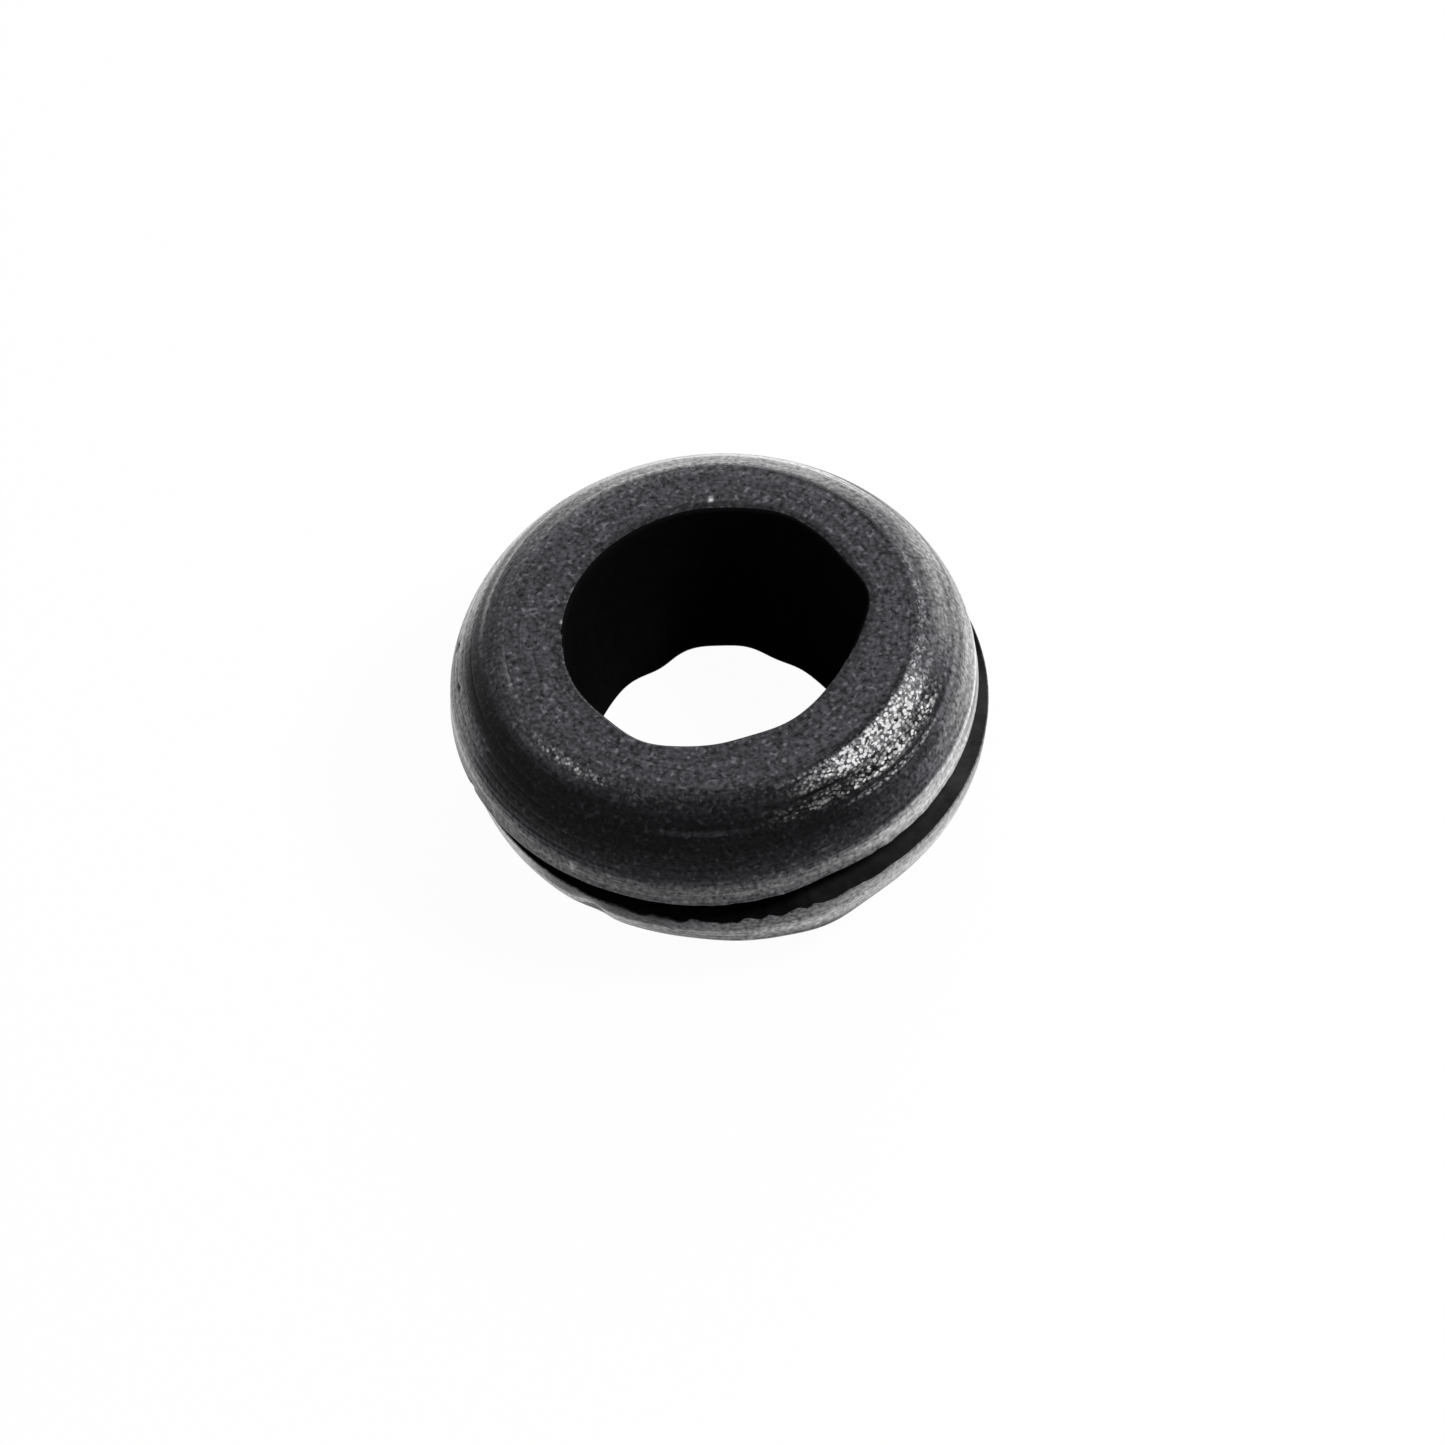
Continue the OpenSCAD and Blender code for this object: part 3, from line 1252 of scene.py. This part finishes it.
    def settle(self, ring: Object) -> None:
        """Moves the true ring's points to where the soft one has them, inside its height.

        Args:
            ring: The true ring.
        """
        moved = self.relaxed.settle(self.points_of(ring))
        moved[:, 2] = np.clip(moved[:, 2] + self.mid_height, 0.0, 2 * self.mid_height)
        ring.data.vertices.foreach_set("co", (moved * MM).ravel())
        ring.data.update()

    def dress(self, ring: Object) -> None:
        """Gives the faces their finishes, and shades them smoothly up to true edges.

        It comes before the ring settles, while its points still lie on the outline.

        Args:
            ring: The true ring.
        """
        ring.data.materials.append(MouldedRubber().make())
        ring.data.materials.append(ShelteredRubber().make())
        corners = np.empty(len(ring.data.loops), dtype=np.int32)
        ring.data.loops.foreach_get("vertex_index", corners)
        middles = self.points_of(ring).spots[corners.reshape(-1, FACE_CORNERS)].mean(axis=1)
        dark = self.sheltered(RingPoints(middles, self.outline))
        ring.data.polygons.foreach_set("material_index", dark.astype(np.int32))
        deselect_all()
        ring.select_set(True)
        bpy.context.view_layer.objects.active = ring
        bpy.ops.object.shade_smooth_by_angle(angle=math.radians(self.smooth_angle))


# ---------------------------------------------------------------- the studio


@dataclass(frozen=True)
class Lamp:
    """A square soft lamp, placed by where its light comes from."""

    name: str
    azimuth: float
    elevation: float
    distance: float
    width: float
    level: float

    def place(self, aim: Vector) -> None:
        """Adds the lamp. A white sheet that squarely faces it renders at its level.

        Args:
            aim: The place that the lamp points at.
        """
        turn, lift = math.radians(self.azimuth), math.radians(self.elevation)
        away = Vector((math.cos(turn) * math.cos(lift), math.sin(turn) * math.cos(lift), math.sin(lift)))
        light = bpy.data.lights.new(self.name, "AREA")
        light.shape = "SQUARE"
        light.size = self.width * MM
        light.energy = self.level * (math.pi * self.distance * MM) ** 2
        lamp = bpy.data.objects.new(self.name, light)
        lamp.location = aim + away * self.distance * MM
        lamp.rotation_euler = away.to_track_quat("Z", "Y").to_euler()
        lamp.visible_camera = False
        bpy.context.scene.collection.objects.link(lamp)


@dataclass(frozen=True)
class Studio:
    """Plain pale floor, three soft lamps and an even white surround."""

    floor_width: float = 1600.0
    surround_level: float = 0.25
    # Each lamp's azimuth, elevation, distance, width and level
    lamps: tuple[Lamp, ...] = (
        Lamp("key_lamp", -5.0, 48.5, 250.0, 60.0, 0.78),
        Lamp("back_lamp", 75.0, 24.0, 250.0, 90.0, 0.36),
        Lamp("fill_lamp", 173.0, 42.8, 250.0, 120.0, 0.08),
    )

    def build(self, aim: Vector) -> Object:
        """Adds the floor, the lamps and the surround.

        Args:
            aim: The place that the lamps point at.

        Returns:
            The floor.
        """
        deselect_all()
        bpy.ops.mesh.primitive_plane_add(size=self.floor_width * MM)
        floor = bpy.context.object
        floor.name = floor.data.name = "paper_floor"
        floor.data.materials.append(PaperFloor().make())
        for lamp in self.lamps:
            lamp.place(aim)
        self.surround()
        return floor

    def surround(self) -> None:
        """Makes the surround white to look at, and dim as a source of light."""
        world = bpy.data.worlds.new("white_surround")
        bpy.context.scene.world = world
        tree = new_tree(world)
        glow = {"Value": seen_directly(tree), "To Min": self.surround_level, "To Max": 1.0}
        level = add_node(tree, "MapRange", glow)[0]
        light = add_node(tree, "Background", {"Color": WHITE, "Strength": level})[0]
        add_node(tree, "OutputWorld", {"Surface": light})


@dataclass(frozen=True)
class Viewpoint:
    """Where the camera stands, by the height it looks down from and how it is turned."""

    picture_px: int = 1445
    pixel_mm: float = 0.03302
    distance_px: float = 4000.0
    elevation: float = 53.084
    roll: float = 6.9007
    # A mark beside the ring's middle, and the pixel that shows it
    mark_off_axis: tuple[float, float] = (-0.1205, 0.0826)
    mark_x_px: float = 715.33
    mark_y_px: float = 689.86
    sensor_mm: float = 36.0
    clip_near: float = 1.0
    clip_far: float = 10000.0

    def place(self, middle_of_ring: Vector) -> None:
        """Adds the camera and makes it the scene's.

        Args:
            middle_of_ring: The ring's middle, beside which lies the mark that the named pixel shows.
        """
        lift, roll = math.radians(self.elevation), math.radians(self.roll)
        back = Vector((0.0, -math.cos(lift), math.sin(lift)))
        right = Vector((1.0, 0.0, 0.0))
        up = Vector((0.0, math.sin(lift), math.cos(lift)))
        turned_right = right * math.cos(roll) - up * math.sin(roll)
        turned_up = right * math.sin(roll) + up * math.cos(roll)
        pixel = self.pixel_mm * MM
        middle = self.picture_px / 2
        mark = middle_of_ring + Vector((*self.mark_off_axis, 0.0)) * MM
        eye = mark + back * self.distance_px * pixel
        aim = mark + turned_right * (middle - self.mark_x_px) * pixel
        aim = aim + turned_up * (self.mark_y_px - middle) * pixel

        look = (eye - aim).normalized()
        side = turned_up.cross(look).normalized()
        rise = look.cross(side)
        data = bpy.data.cameras.new("camera")
        data.sensor_width = self.sensor_mm
        data.lens = self.sensor_mm * self.distance_px / self.picture_px
        data.clip_start = self.clip_near * MM
        data.clip_end = self.clip_far * MM
        camera = bpy.data.objects.new("camera", data)
        bpy.context.scene.collection.objects.link(camera)
        camera.matrix_world = Matrix.Translation(eye) @ Matrix((side, rise, look)).transposed().to_4x4()
        bpy.context.scene.camera = camera


# ---------------------------------------------------------------- the scene


def report(piece: Object) -> None:
    """Logs a finished piece's name and size."""
    size = ", ".join(f"{v / MM:.2f}" for v in piece.dimensions)
    log.info("%s: %d faces, %s mm", piece.name, len(piece.data.polygons), size)


def main() -> None:
    """Builds the grommet, the studio and the camera, in that order."""
    logging.basicConfig(level=logging.INFO, format="%(name)s: %(message)s")
    maker = GrommetRing()
    ring = maker.build()
    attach(ring, BODY)
    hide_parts(NODE)
    report(ring)

    middle = Vector((0.0, 0.0, maker.mid_height * MM))
    floor = Studio().build(middle)
    report(floor)

    Viewpoint().place(middle)

    bpy.context.scene.view_settings.view_transform = "Standard"


if __name__ == "__main__":
    main()
